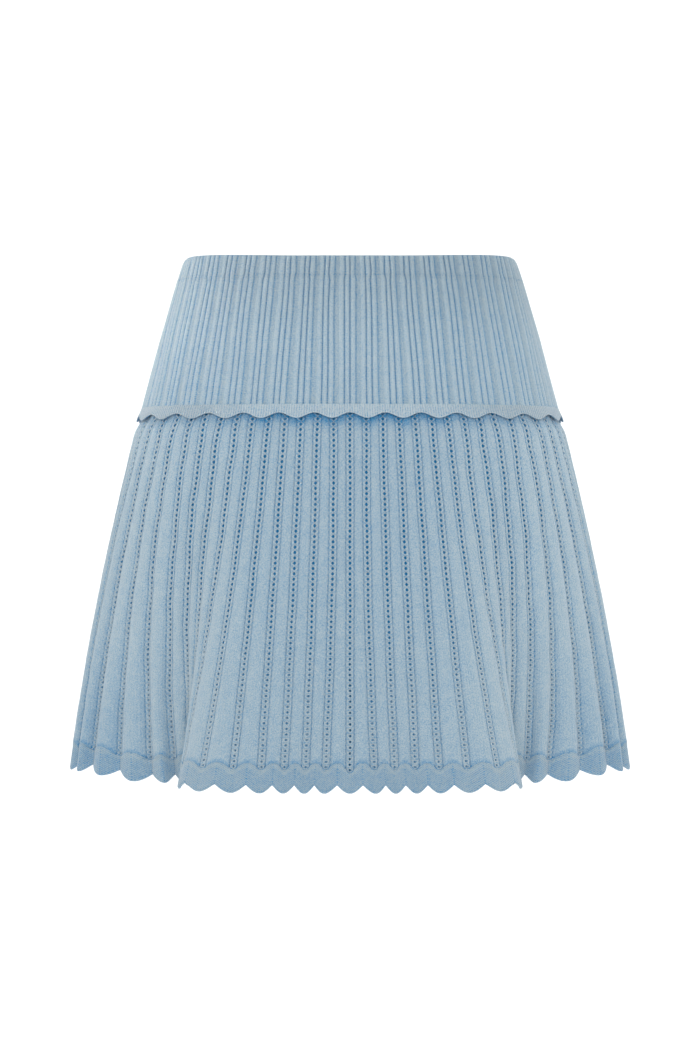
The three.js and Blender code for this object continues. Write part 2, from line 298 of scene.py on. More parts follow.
def plan(station, down):
    """The skirt's plan at a depth: the section, carried into the flare below the yoke."""
    station, down = np.broadcast_arrays(wrapped(np.asarray(station, float)), down)
    start_x, start_y = section_point(station, np.minimum(down, SKIRT_SHOWS))
    column = from_centre(station, COLUMNS_PER_QUARTER)
    fall = np.maximum(0, (down - SKIRT_SHOWS) / FLARE_DEPTH)
    top = (1 - fall) * (1 - 2 * fall)
    mid = 4 * fall * (1 - fall)
    hem = fall * (2 * fall - 1)
    is_back = np.abs(station) > 1
    mid_across, mid_ahead, hem_across, hem_ahead = (
        np.interp(column, FLARE_AT, curve) for curve in FLARE_CURVES
    )
    side = np.sign(station)
    x = top * start_x + side * (mid * mid_across + hem * hem_across)
    y = (
        top * start_y
        + mid * mid_ahead * np.where(is_back, BACK_MID, -1)
        + hem * hem_ahead * np.where(is_back, BACK_HEM, -1)
    )
    return x, y


def offset(station, down, out):
    """Points on the plan, moved out along the plan's own normal."""
    step = 0.004
    x, y = plan(station, down)
    next_x, next_y = plan(wrapped(station + step), down)
    last_x, last_y = plan(wrapped(station - step), down)
    run = np.hypot(next_x - last_x, next_y - last_y)
    points = np.empty(x.shape + (3,))
    points[..., 0] = x + (next_y - last_y) / run * out
    points[..., 1] = y - (next_x - last_x) / run * out
    points[..., 2] = -down
    return points


def belly(station, down):
    """How far a panel bellies out between its columns."""
    column = from_centre(station, COLUMNS_PER_QUARTER)
    in_fold = smooth((column - FOLD_STARTS) / BELLY_BLEND)
    on_side = smooth((column - SIDES_START) / BELLY_BLEND)
    most = mix(mix(BELLY_FRONT, BELLY_FOLD, in_fold), BELLY_SIDE, on_side)
    return most * fall_share(down) ** BELLY_GROWTH * np.abs(np.sin(math.pi * column))


def tuck(down):
    return SKIRT_TUCK * (1 - smooth((down - TUCK_ENDS) / TUCK_FADES_OVER))


def side_rise(station):
    column = from_centre(station, COLUMNS_PER_QUARTER)
    return HEM_RISE_AT_SIDES * smooth((column - RISE_STARTS) / RISE_BLEND)


def seam_line(station):
    """How far down the border's seam lies: an arch over each strip, a blunt point at each
    column. The centre column has the deepest point.
    """
    column = from_centre(station, COLUMNS_PER_QUARTER)
    from_middle = smooth(column / SEAM_CENTRE_WIDTH)
    point = mix(SEAM_POINT_AT_CENTRE, SEAM_POINT, from_middle)
    height = mix(SEAM_ARCH_AT_CENTRE, SEAM_ARCH, from_middle)
    arch = np.abs(np.sin(math.pi * column)) - SEAM_POINT_BLUNTNESS
    arch = np.maximum(arch / (1 - SEAM_POINT_BLUNTNESS), 0)
    return BORDER_SEAM - side_rise(station) + point - height * arch


def hem_edge(station):
    """How far down the hem's scalloped edge lies."""
    column = from_centre(station, COLUMNS_PER_QUARTER)
    shift = 0.5 * smooth((column - SCALLOP_SHIFT_STARTS) / SCALLOP_SHIFT_BLEND)
    scallop = np.abs(np.cos(math.pi * (column + shift)))
    return HEM_VALLEY - side_rise(station) + HEM_SCALLOP * scallop


def trim_edge(station):
    """How far down the yoke trim's scalloped edge lies."""
    wave = (1 - np.cos(2 * math.pi * from_centre(station, SCALLOPS_PER_QUARTER))) / 2
    return TRIM_VALLEY + TRIM_SCALLOP * wave


def skirt_face(station, down, out):
    return offset(station, down, belly(station, down) - tuck(down) + out)


def rib_share(station):
    """How far across its repeat of ribs a station lies, from left to right seen from outside."""
    repeat = wrapped(station) * RIBS_PER_QUARTER
    return repeat - np.floor(repeat)


def groove_depth(station, width):
    """The ribs' grooves: 0 on a rib and 1 at the bottom of a deep groove."""
    share = rib_share(station)
    depth = np.zeros_like(share)
    for centre, spread, deep in GROOVES:
        depth = depth + deep * bell(share - centre, spread * width)
    return depth


def low_band(station):
    """1 in the low band of each repeat of ribs and 0 elsewhere."""
    from_start, from_end = (rib_share(station) - place for place in LOW_BAND)
    return smooth(from_start / LOW_BAND_EDGES[0]) * (1 - smooth(from_end / LOW_BAND_EDGES[1]))


def rib_height(station):
    """The height of the ribs: round ribs, a low band, and 0 at the bottom of a deep groove."""
    share = rib_share(station)
    height = np.full_like(share, 0.5)
    for start, end in RIBS:
        across = np.clip((share - start) / (end - start), 0, 1)
        height = height + 0.5 * np.sin(math.pi * across) ** RIB_ROUNDNESS
    return np.clip(height - 0.5 * groove_depth(station, 1.0), 0, 1)


class Value:
    """A shader socket that can stand in sums."""

    def __init__(self, finish, socket):
        self.finish = finish
        self.socket = socket

    def __add__(self, other):
        return self.finish.maths("ADD", self, other)

    def __radd__(self, other):
        return self.finish.maths("ADD", other, self)

    def __sub__(self, other):
        return self.finish.maths("SUBTRACT", self, other)

    def __rsub__(self, other):
        return self.finish.maths("SUBTRACT", other, self)

    def __mul__(self, other):
        return self.finish.maths("MULTIPLY", self, other)

    def __rmul__(self, other):
        return self.finish.maths("MULTIPLY", other, self)


class Finish:
    """A material and its nodes."""

    def __init__(self, name):
        self.material = bpy.data.materials.new(name)
        self.material.use_nodes = True
        self.tree = self.material.node_tree
        self.tree.nodes.clear()

    def node(self, kind, settings=None, values=None):
        made = self.tree.nodes.new(kind)
        for name, setting in (settings or {}).items():
            setattr(made, name, setting)
        for name, value in (values or {}).items():
            socket = made.inputs[name]
            if isinstance(value, Value):
                self.tree.links.new(value.socket, socket)
            else:
                socket.default_value = value
        return made

    def output(self, made, name=0):
        return Value(self, made.outputs[name])

    def maths(self, operation, *values):
        made = self.node("ShaderNodeMath", {"operation": operation}, dict(enumerate(values)))
        return self.output(made)

    def sine(self, value):
        return self.maths("SINE", value)

    def cosine(self, value):
        return self.maths("COSINE", value)

    def step(self, value, low, high):
        """A smooth 0 to 1 as value goes from low to high."""
        made = self.node(
            "ShaderNodeMapRange",
            {"interpolation_type": "SMOOTHSTEP", "clamp": True},
            {"Value": value, "From Min": low, "From Max": high},
        )
        return self.output(made)

    def blend(self, share, first, second):
        made = self.node("ShaderNodeMix", {"data_type": "RGBA"})
        for index, value in ((0, share), (6, first), (7, second)):
            if isinstance(value, Value):
                self.tree.links.new(value.socket, made.inputs[index])
            elif index == 0:
                made.inputs[index].default_value = value
            else:
                made.inputs[index].default_value = (*value, 1)
        return Value(self, made.outputs[2])

    def attribute(self, name):
        return self.output(self.node("ShaderNodeAttribute", {"attribute_name": name}), "Fac")

    def noise(self, vector, scale, detail):
        made = self.node(
            "ShaderNodeTexNoise", None, {"Vector": vector, "Scale": scale, "Detail": detail}
        )
        return self.output(made, "Fac")


# What each thing in a knit adds to its height, in millimetres, and to its light, where the grooves'
# entries break up and vary their painted shade.
HEIGHTS = {"leg": 0.05, "wale": 0.05, "fibre": 0.35, "yarn": 0.35, "slant": 0.12, "trim_wale": 0.15}
LIGHTNESS = {
    "leg": 0.018,
    "wale": 0.02,
    "fibre": 1.9,
    "mottle": 0.3,
    "broken_groove": 0.4,
    "yarn": 0.5,
    "uneven_yarn": 0.5,
    "groove_dots": 0.22,
    "uneven_groove": 0.6,
    "slant": 0.26,
    "valley": 0.45,
    "trim_wale": 0.11,
    "edge_dots": 0.42,
}
# Sizes of the noises, as repeats a metre.
FIBRES = 1500.0
MOTTLE = 160.0
DRIFT = 420.0
# Lanes, in millimetres from a column's middle: the yarn round the holes, where the column ends
# and the groove beside it. On the border a lane of 8 is the middle of a strip.
YARN_LANES = (0.15, 0.95)
COLUMN_END_LANES = (2.4, 2.8)
GROOVE_LANES = ((2.6, 2.9), (3.1, 3.5))
VALLEY_LANES = (7.3, 7.7)
STRIP_LANES = 16.0
# The row of dots along a scalloped edge, in millimetres from the edge.
EDGE_DOTS = ((0.9, 1.2), (1.5, 1.8))
LEG_LEAN = 1.3
SLANT_LENGTH = 1.35


def knit_finish(name, cloth_colour, pattern):
    """A knit: rows of stitches as bumps, a paler bloom of fibres and painted blue shade in the
    hollows.
    """
    finish = Finish(name)
    cloth = finish.node("ShaderNodeAttribute", {"attribute_name": "cloth"})
    parts = finish.node("ShaderNodeSeparateXYZ", None, {0: finish.output(cloth, "Vector")})
    wale = finish.output(parts, 0)
    course = finish.output(parts, 1)
    lane = finish.output(parts, 2)
    # The points carry the cloth's tone with its painted shade and highlights, and a painted neutral
    # shade.
    tone_and_painted_shade = finish.attribute("tone_and_painted_shade")
    edge = finish.attribute("edge")
    neutral_shade = finish.attribute("neutral_shade")
    place = finish.output(finish.node("ShaderNodeTexCoord"), "Object")

    turn = 2 * math.pi
    lean = finish.maths("ABSOLUTE", finish.maths("FRACT", wale) - 0.5)
    legs = finish.sine((course + lean * LEG_LEAN) * turn)
    between_wales = finish.cosine(wale * turn)
    fibres = finish.noise(place, FIBRES, 3.0)
    mottle = finish.noise(place, MOTTLE, 3.0)
    drift = finish.noise(place, DRIFT, 2.0)
    hollow = 1.0 - tone_and_painted_shade
    height = legs * HEIGHTS["leg"] - between_wales * HEIGHTS["wale"] + fibres * HEIGHTS["fibre"]
    light = tone_and_painted_shade + legs * LIGHTNESS["leg"] - between_wales * LIGHTNESS["wale"]

    if pattern == "rib":
        # The painted shade in the grooves is broken into dots along the rows.
        broken = finish.sine((course * 0.8 + drift * 1.6) * turn)
        light = light + hollow * broken * LIGHTNESS["broken_groove"]
    if pattern == "openwork":
        row = course * (turn / COURSES_PER_EYELET)
        beside_yarn = finish.maths("ABSOLUTE", lane - (finish.cosine(row) + 1.0))
        yarn = 1.0 - finish.step(beside_yarn, *YARN_LANES)
        in_column = 1.0 - finish.step(lane, *COLUMN_END_LANES)
        uneven = drift - 0.5
        height = height + yarn * in_column * HEIGHTS["yarn"]
        on_yarn = (yarn - 0.35) * LIGHTNESS["yarn"] + uneven * LIGHTNESS["uneven_yarn"]
        light = light + in_column * on_yarn
        # Painted shade in the groove beside each column, in uneven dots.
        starts, ends = GROOVE_LANES
        groove = finish.step(lane, *starts) * (1.0 - finish.step(lane, *ends))
        dots = finish.cosine(row + drift * 2.0) * LIGHTNESS["groove_dots"]
        light = light - groove * (dots + uneven * LIGHTNESS["uneven_groove"])
    if pattern == "edging":
        along = (course * COURSE + lane * 0.8) * (turn / SLANT_LENGTH)
        slant = finish.sine(along + drift * 0.8)
        height = height + slant * HEIGHTS["slant"]
        light = light + slant * LIGHTNESS["slant"]
        valley = finish.step(lane, *VALLEY_LANES) * finish.sine(course * (turn / 2))
        light = light - finish.maths("MAXIMUM", valley, 0.0) * LIGHTNESS["valley"]
    if pattern == "trim":
        height = height - between_wales * HEIGHTS["trim_wale"]
        light = light - between_wales * LIGHTNESS["trim_wale"]
    if pattern in ("edging", "trim"):
        starts, ends = EDGE_DOTS
        row_of_dots = finish.step(edge, *starts) * (1.0 - finish.step(edge, *ends))
        beside = finish.maths("MAXIMUM", finish.cosine(wale * turn), 0.0)
        light = light - row_of_dots * beside * LIGHTNESS["edge_dots"]

    light = light + (fibres - 0.5) * LIGHTNESS["fibre"] + (mottle - 0.5) * LIGHTNESS["mottle"]
    # Where the light is low the colour is painted towards the shade blue, and the painted neutral
    # shade darkens it towards black.
    shade = finish.maths("MINIMUM", finish.maths("MAXIMUM", light, 0.0), 1.0)
    colour = finish.blend(neutral_shade, finish.blend(shade, SHADE_BLUE, cloth_colour), BLACK)
    bump = finish.node(
        "ShaderNodeBump",
        None,
        {"Strength": 1.0, "Distance": MM, "Height": height},
    )
    surface = finish.node(
        "ShaderNodeBsdfPrincipled",
        None,
        {
            "Base Color": colour,
            "Roughness": 0.85,
            "Specular IOR Level": 0.2,
            "Sheen Weight": 0.45,
            "Sheen Roughness": 0.4,
            "Sheen Tint": (0.9, 0.95, 1.0, 1.0),
            "Normal": finish.output(bump),
        },
    )
    finish.node("ShaderNodeOutputMaterial", None, {"Surface": finish.output(surface)})
    return finish.material


def plain_finish(name, colour, roughness):
    finish = Finish(name)
    grain = finish.noise(finish.output(finish.node("ShaderNodeTexCoord"), "Object"), 900.0, 2.0)
    shade = finish.blend(grain, tuple(0.86 * part for part in colour), colour)
    surface = finish.node(
        "ShaderNodeBsdfPrincipled",
        None,
        {"Base Color": shade, "Roughness": roughness, "Specular IOR Level": 0.1},
    )
    finish.node("ShaderNodeOutputMaterial", None, {"Surface": finish.output(surface)})
    return finish.material


def add_object(name, data):
    made = bpy.data.objects.new(name, data)
    bpy.context.scene.collection.objects.link(made)
    return made


def new_mesh_object(name, points, faces):
    mesh = bpy.data.meshes.new(name)
    mesh.from_pydata(points, [], faces)
    mesh.update()
    return add_object(name, mesh)


class NodeTree:
    """A Geometry Nodes tree with named inputs, run once on an object."""

    def __init__(self, name, inputs):
        self.tree = bpy.data.node_groups.new(name, "GeometryNodeTree")
        sockets = self.tree.interface
        sockets.new_socket("Geometry", in_out="INPUT", socket_type="NodeSocketGeometry")
        for socket_name, kind in inputs.items():
            sockets.new_socket(socket_name, in_out="INPUT", socket_type=kind)
        sockets.new_socket("Geometry", in_out="OUTPUT", socket_type="NodeSocketGeometry")
        self.start = self.tree.nodes.new("NodeGroupInput").outputs
        self.end = self.tree.nodes.new("NodeGroupOutput").inputs["Geometry"]

    def feed(self, socket, value):
        """Links another node's socket to an input, or sets the input's own value."""
        if isinstance(value, bpy.types.NodeSocket):
            self.tree.links.new(value, socket)
        else:
            socket.default_value = value

    def node(self, kind, settings=None, **values):
        made = self.tree.nodes.new(kind)
        for name, setting in (settings or {}).items():
            setattr(made, name, setting)
        for name, value in values.items():
            self.feed(made.inputs[name.replace("_", " ")], value)
        return made

    def minus(self, first, second):
        made = self.node("ShaderNodeMath", {"operation": "SUBTRACT"})
        self.feed(made.inputs[0], first)
        self.feed(made.inputs[1], second)
        return made.outputs[0]

    def finish(self, geometry, material):
        """Gives the geometry its material and ends the tree with it."""
        made = self.node("GeometryNodeSetMaterial", Geometry=geometry, Material=material)
        self.feed(self.end, made.outputs["Geometry"])

    def run(self, source, values, name):
        """The tree's result on the source object, as a plain mesh object."""
        modifier = source.modifiers.new("repeat", "NODES")
        modifier.node_group = self.tree
        for socket in self.tree.interface.items_tree:
            if socket.in_out == "INPUT" and socket.name in values:
                modifier[socket.identifier] = values[socket.name]
        bpy.context.view_layer.update()
        evaluated = source.evaluated_get(bpy.context.evaluated_depsgraph_get())
        mesh = bpy.data.meshes.new_from_object(evaluated)
        mesh.name = name
        source.modifiers.remove(modifier)
        return add_object(name, mesh)


def tile_repeat_tree():
    """Lays one tile of cloth side by side on a flat grid of unit cells and welds them."""
    made = NodeTree(
        "cloth_repeat",
        {
            "Columns": "NodeSocketInt",
            "Rows": "NodeSocketInt",
            "Tile": "NodeSocketObject",
            "Weld Distance": "NodeSocketFloat",
            "Cloth": "NodeSocketMaterial",
        },
    )
    start = made.start
    grid = made.node(
        "GeometryNodeMeshGrid",
        Size_X=made.minus(start["Columns"], 1),
        Size_Y=made.minus(start["Rows"], 1),
        Vertices_X=start["Columns"],
        Vertices_Y=start["Rows"],
    )
    tile = made.node("GeometryNodeObjectInfo", Object=start["Tile"])
    copies = made.node(
        "GeometryNodeInstanceOnPoints",
        Points=grid.outputs["Mesh"],
        Instance=tile.outputs["Geometry"],
    )
    real = made.node("GeometryNodeRealizeInstances", Geometry=copies.outputs["Instances"])
    weld = made.node(
        "GeometryNodeMergeByDistance",
        Geometry=real.outputs["Geometry"],
        Distance=start["Weld Distance"],
    )
    made.finish(weld.outputs["Geometry"], start["Cloth"])
    return made


def stitch_tree():
    """Sets one stitch after another along a seam's line, each turned to follow it."""
    made = NodeTree(
        "stitch_row",
        {
            "Stitch": "NodeSocketObject",
            "Spacing": "NodeSocketFloat",
            "Size Change": "NodeSocketFloat",
            "Seed": "NodeSocketInt",
            "Thread": "NodeSocketMaterial",
        },
    )
    start = made.start
    along = made.node(
        "GeometryNodeCurveToPoints",
        {"mode": "LENGTH"},
        Curve=start["Geometry"],
        Length=start["Spacing"],
    )
    stitch = made.node("GeometryNodeObjectInfo", Object=start["Stitch"])
    size = made.node("FunctionNodeRandomValue", {"data_type": "FLOAT"}, Seed=start["Seed"])
    made.feed(size.inputs[2], made.minus(1, start["Size Change"]))
    made.feed(size.inputs[3], 1.0)
    copies = made.node(
        "GeometryNodeInstanceOnPoints",
        Points=along.outputs["Points"],
        Instance=stitch.outputs["Geometry"],
        Rotation=along.outputs["Rotation"],
        Scale=size.outputs[1],
    )
    real = made.node("GeometryNodeRealizeInstances", Geometry=copies.outputs["Instances"])
    made.finish(real.outputs["Geometry"], start["Thread"])
    return made


def flat_repeat(name, tile, columns, rows, material):
    """A flat cloth of one repeated tile, and its points. Its x and y run from 0, in tiles."""
    seat = new_mesh_object(name + "_seat", [(0, 0, 0)], [])
    values = {"Columns": columns, "Rows": rows, "Tile": tile, "Weld Distance": TILE_WELD}
    made = TILE_REPEAT.run(seat, {**values, "Cloth": material}, name)
    bpy.data.objects.remove(seat)
    made.data.transform(Matrix.Translation((columns / 2, rows / 2, 0)))
    points = np.empty(len(made.data.vertices) * 3)
    made.data.vertices.foreach_get("co", points)
    return made, points.reshape(-1, 3)


def place_points(made, points):
    """Gives a mesh its points, worked out in millimetres."""
    made.data.vertices.foreach_set("co", (points * MM).astype(np.float32).ravel())
    made.data.update()


def write_cloth(made, wale, course, lane, tone_and_painted_shade, edge, neutral_shade):
    """Stores where each point lies in the knit, its tone with its painted shade, and its painted
    neutral shade, for the finishes to read.
    """
    mesh = made.data
    values = np.stack(np.broadcast_arrays(wale, course, lane), axis=1).astype(np.float32)
    cloth = mesh.attributes.new("cloth", "FLOAT_VECTOR", "POINT")
    cloth.data.foreach_set("vector", values.ravel())
    for name, values in (("tone_and_painted_shade", tone_and_painted_shade), ("edge", edge), ("neutral_shade", neutral_shade)):
        values = np.broadcast_to(np.asarray(values, np.float32), len(mesh.vertices))
        mesh.attributes.new(name, "FLOAT", "POINT").data.foreach_set("value", values.copy())


def smooth_faces(made):
    """Smooth shading that keeps the cut edges and the rims of the holes crisp."""
    made.data.polygons.foreach_set("use_smooth", [True] * len(made.data.polygons))
    made.data.set_sharp_from_angle(angle=CRISP_ANGLE)
    made.data.update()


def close_mesh(made, ends):
    """Welds a folded cloth along its own edge and, where it has ends, closes them."""
    shape = bmesh.new()
    shape.from_mesh(made.data)
    bmesh.ops.remove_doubles(shape, verts=shape.verts, dist=SEAM_WELD)
    if ends:
        open_edges = [edge for edge in shape.edges if edge.is_boundary]
        bmesh.ops.holes_fill(shape, edges=open_edges, sides=0)
    shape.to_mesh(made.data)
    shape.free()
    smooth_faces(made)


def strip_tile(name, across, up):
    """A flat tile of one unit cell, with its cell's middle at the origin."""
    points = [(x - 0.5, y - 0.5, 0) for y in up for x in across]
    wide = len(across)
    faces = []
    for row in range(len(up) - 1):
        for column in range(wide - 1):
            first = row * wide + column
            faces.append((first, first + 1, first + 1 + wide, first + wide))
    tile = new_mesh_object(name, points, faces)
    tile.hide_render = True
    return tile


# The openwork tile. Widths are in millimetres from a column's middle and shares are of the
# columns' spacing. The stitches of a column keep their size, so the first fifth of the spacing
# each side stands for a fixed width.
COLUMN_SHARE = 0.2
COLUMN_HALF_WIDTH = 3.4
HOLE_OUTLINE = ((1.0, 0.0), (0.74, 1.0), (0.0, 1.55), (-0.74, 1.0))
HOLE_REACH = (1.1, 0.45)
LOWEST_HOLE_SIZE = 0.7
ROW_EASE = 0.05
ROW_HEIGHT = (BORDER_SEAM - SKIRT_START) / EYELET_ROWS
WEB_LEVEL = 0.3
WEB_WIDTH = 0.85
DIAMOND_WIDTH = 0.7
OUTER_PLACES = (1.25, 1.95, 3.0, 3.4)
OUTER_SHARES = (0.29, 0.39, 0.5)
INNER_SHARES = (0.3, 0.5)
LAST_ROWS = 14

# By distance from a column's middle: how far out the cloth lies, and how light it is painted, with
# painted shade at the holes' rims and in the groove beside the column.
COLUMN_PROFILE = (
    (0.0, 0.95, 1.25, 1.95, 2.5, 3.0, 3.4, 4.6, 7.0),
    (-0.75, -0.72, -0.6, -0.4, -0.7, -1.15, -0.45, -0.02, 0.1),
)
COLUMN_PAINTED_LIGHT = (
    (0.0, 0.98, 1.25, 1.9, 2.5, 3.0, 3.5, 4.2),
    (0.76, 0.62, 0.82, 0.92, 0.86, 0.5, 0.79, 0.765),
)
# Painted shadows under the trim and above the border's seam: how dark and how far. Then the painted
# light in the holes' webs, a little uneven and paler low down, and the painted neutral shade in the
# holes and towards the hem.
TRIM_SHADOW = (0.86, 5.5)
TRIM_SHADOW_LOSS = 0.5
SEAM_SHADOW = (0.5, 0.8)
WEB_LIGHT = 0.08
CLOSED_HOLE_LIGHT = 0.4
HOLLOW_SHADE = 0.15
LOW_SHADE = 0.09


def share_of(width):
    return width / COLUMN_HALF_WIDTH * COLUMN_SHARE


def openwork_tile(name):
    """One hole with the stitches beside it and half a panel each side, outer and inner face.

    The hole is closed by a thin web at its bottom, painted dark blue as the shade seen through an
    open eyelet, and shows on the inner face as a diamond painted in the same shade.
    """
    points = []
    faces = []

    def point(x, y, z):
        points.append((x, y, z))
        return len(points) - 1

    def corners_at(layer):
        return [
            point(edge, 0.5, layer),
            point(-edge, 0.5, layer),
            point(-edge, -0.5, layer),
            point(edge, -0.5, layer),
        ]

    edge = share_of(OUTER_PLACES[0])
    hole = [(x, y) for x, y in HOLE_OUTLINE] + [(-x, -y) for x, y in HOLE_OUTLINE]
    hole = [(share_of(x), y / ROW_HEIGHT) for x, y in hole]
    rim = [point(x, y, 1) for x, y in hole]
    web = [point(x * WEB_WIDTH, y * WEB_WIDTH, WEB_LEVEL) for x, y in hole]
    inside = [point(x * DIAMOND_WIDTH, y * DIAMOND_WIDTH, 0) for x, y in hole[::2]]
    corners = {1: corners_at(1), 0: corners_at(0)}
    faces.append(tuple(web))
    faces.append(tuple(reversed(inside)))
    for quarter in range(4):
        first = 2 * quarter
        middle = first + 1
        last = (first + 2) % 8
        following = (quarter + 1) % 4
        faces.append((rim[first], corners[1][quarter], rim[middle]))
        faces.append((rim[middle], corners[1][quarter], rim[last]))
        faces.append((rim[last], corners[1][quarter], corners[1][following]))
        faces.append((rim[first], rim[middle], web[middle], web[first]))
        faces.append((rim[middle], rim[last], web[last], web[middle]))
        faces.append((inside[quarter], inside[following], corners[0][quarter]))
        faces.append((inside[following], corners[0][following], corners[0][quarter]))
    for layer, shares in (
        (1, [share_of(place) for place in OUTER_PLACES] + list(OUTER_SHARES)),
        (0, [edge] + list(INNER_SHARES)),
    ):
        for side in (1, -1):
            lower = [corners[layer][3 if side == 1 else 2]]
            upper = [corners[layer][0 if side == 1 else 1]]
            for share in shares[1:]:
                lower.append(point(side * share, -0.5, layer))
                upper.append(point(side * share, 0.5, layer))
            for index in range(len(shares) - 1):
                face = (lower[index], lower[index + 1], upper[index + 1], upper[index])
                faces.append(face if (side == 1) == (layer == 1) else face[::-1])
    tile = new_mesh_object(name, points, faces)
    tile.hide_render = True
    return tile


def join_rims(made, codes, columns, rows):
    """Closes a two-layer cloth along its four edges."""
    shape = bmesh.new()
    shape.from_mesh(made.data)
    shape.verts.ensure_lookup_table()
    near = 0.001
    # Each edge: the axis that it lies across, its place on it, the axis that it runs along, and
    # whether its faces have to be turned over.
    edges = (
        (1, 0, 0, False),
        (1, rows, 0, True),
        (0, columns, 1, False),
        (0, 0, 1, True),
    )
    for fixed_axis, value, running_axis, flipped in edges:
        on_edge = np.abs(codes[:, fixed_axis] - value) < near
        chains = []
        for layer in (1, 0):
            chain = np.nonzero(on_edge & (np.abs(codes[:, 2] - layer) < near))[0]
            chains.append(chain[np.argsort(codes[chain, running_axis])])
        outer, inner = chains
        outer_ends = np.append(codes[outer[1:], running_axis], math.inf)
        inner_ends = np.append(codes[inner[1:], running_axis], math.inf)
        at_outer = 0
        at_inner = 0
        while at_outer < len(outer) - 1 or at_inner < len(inner) - 1:
            if inner_ends[at_inner] < outer_ends[at_outer]:
                face = [inner[at_inner], inner[at_inner + 1], outer[at_outer]]
                at_inner += 1
            else:
                face = [inner[at_inner], outer[at_outer + 1], outer[at_outer]]
                at_outer += 1
            if flipped:
                face.reverse()
            shape.faces.new([shape.verts[int(index)] for index in face])
    shape.to_mesh(made.data)
    shape.free()


def panel_middle(side):
    return 0.0 if side == "front" else 2.0


def at_panel(side, share):
    """Stations across a panel, from its right seam to its left as seen from outside, 0 to 1."""
    half_gap = SEAM_GAP / 2 / QUARTER_LENGTH
    return wrapped(panel_middle(side) + mix(-1 + half_gap, 1 - half_gap, share))


def side_facing(station, down):
    """How far the cloth faces outwards to its own side: 1 fully, 0 ahead, -1 to the middle."""
    step = 0.15 / COLUMNS_PER_QUARTER
    after = skirt_face(wrapped(station + step), down, 0.0)
    before = skirt_face(wrapped(station - step), down, 0.0)
    run = after - before
    return run[..., 1] / np.hypot(run[..., 0], run[..., 1]) * np.sign(after[..., 0])


# How much painted shade darkens the cloth where it turns to the middle: everywhere, in the flutes
# and low in the flutes. Then how much painted highlight lightens it where it turns out, and how much
# painted shade darkens all of it low in the flutes. A flank is fully turned at the last value.
TURNED_IN_SHADE = (0.03, 0.13, 0.46)
TURNED_OUT_HIGHLIGHT = 0.08
LOW_FLUTE_SHADE = 0.14
FULLY_TURNED = 0.7


def fold_shade(station, down):
    """The painted shade in the cloth's folds: bluer on the flanks that turn to the middle, with a
    painted highlight on the flanks that turn out.
    """
    column = from_centre(station, COLUMNS_PER_QUARTER)
    facing = side_facing(station, down)
    beside_middle = smooth((column - 1) / 6)
    turned_in = smooth(-facing / FULLY_TURNED) * beside_middle
    turned_out = smooth(facing / FULLY_TURNED) * beside_middle
    in_flutes = smooth((column - FLUTES_START) / 2)
    low = smooth((fall_share(down) - 0.5) / 0.4) * in_flutes
    darker = TURNED_IN_SHADE[0] + TURNED_IN_SHADE[1] * in_flutes + TURNED_IN_SHADE[2] * low
    shade = 1 - darker * turned_in + TURNED_OUT_HIGHLIGHT * turned_out
    return shade * (1 - LOW_FLUTE_SHADE * low)


def column_pitch(centre, down):
    """How wide the cloth is at a column, from the middle of one strip to the next."""
    quarter_column = 0.25 / COLUMNS_PER_QUARTER
    stations = [wrapped(centre + step * quarter_column) for step in (-2, -1, 0, 1, 2)]
    line = [skirt_face(station, down, 0.0)[:, :2] for station in stations]
    return sum(np.hypot(*(second - first).T) for first, second in zip(line[:-1], line[1:]))


def openwork_places(centre, across, height):
    """The stations, levels and lanes of a panel's points, from their places in the tiles."""
    eased = height / EYELET_ROWS
    eased = eased + ROW_EASE * eased * (1 - eased)
    rough_down = mix(SKIRT_START, BORDER_SEAM, eased)
    pitch = column_pitch(centre, rough_down)
    size = np.abs(across)
    fixed = size / COLUMN_SHARE * COLUMN_HALF_WIDTH
    free = (size - COLUMN_SHARE) / (0.5 - COLUMN_SHARE)
    lane = np.where(size < COLUMN_SHARE, fixed, mix(COLUMN_HALF_WIDTH, pitch / 2, free))
    lane = np.minimum(lane, pitch / 2)

    number = from_centre(centre, COLUMNS_PER_QUARTER)
    slack = 0.25 + 0.6 * smooth((number - FOLD_STARTS) / BELLY_BLEND)
    sway = np.sin(0.083 * rough_down + 2.3 * number)
    sway = sway + 0.6 * np.sin(0.21 * rough_down + 4.1 * number)
    drift = 0.5 * slack * sway * (1 - 2 * size)
    station = wrapped(centre + (np.sign(across) * lane + drift) / pitch / COLUMNS_PER_QUARTER)
    last_rows = smooth((height - EYELET_ROWS + LAST_ROWS) / LAST_ROWS)
    down = rough_down + (seam_line(station) - VISIBLE_GAP - BORDER_SEAM) * last_rows
    return station, down, lane


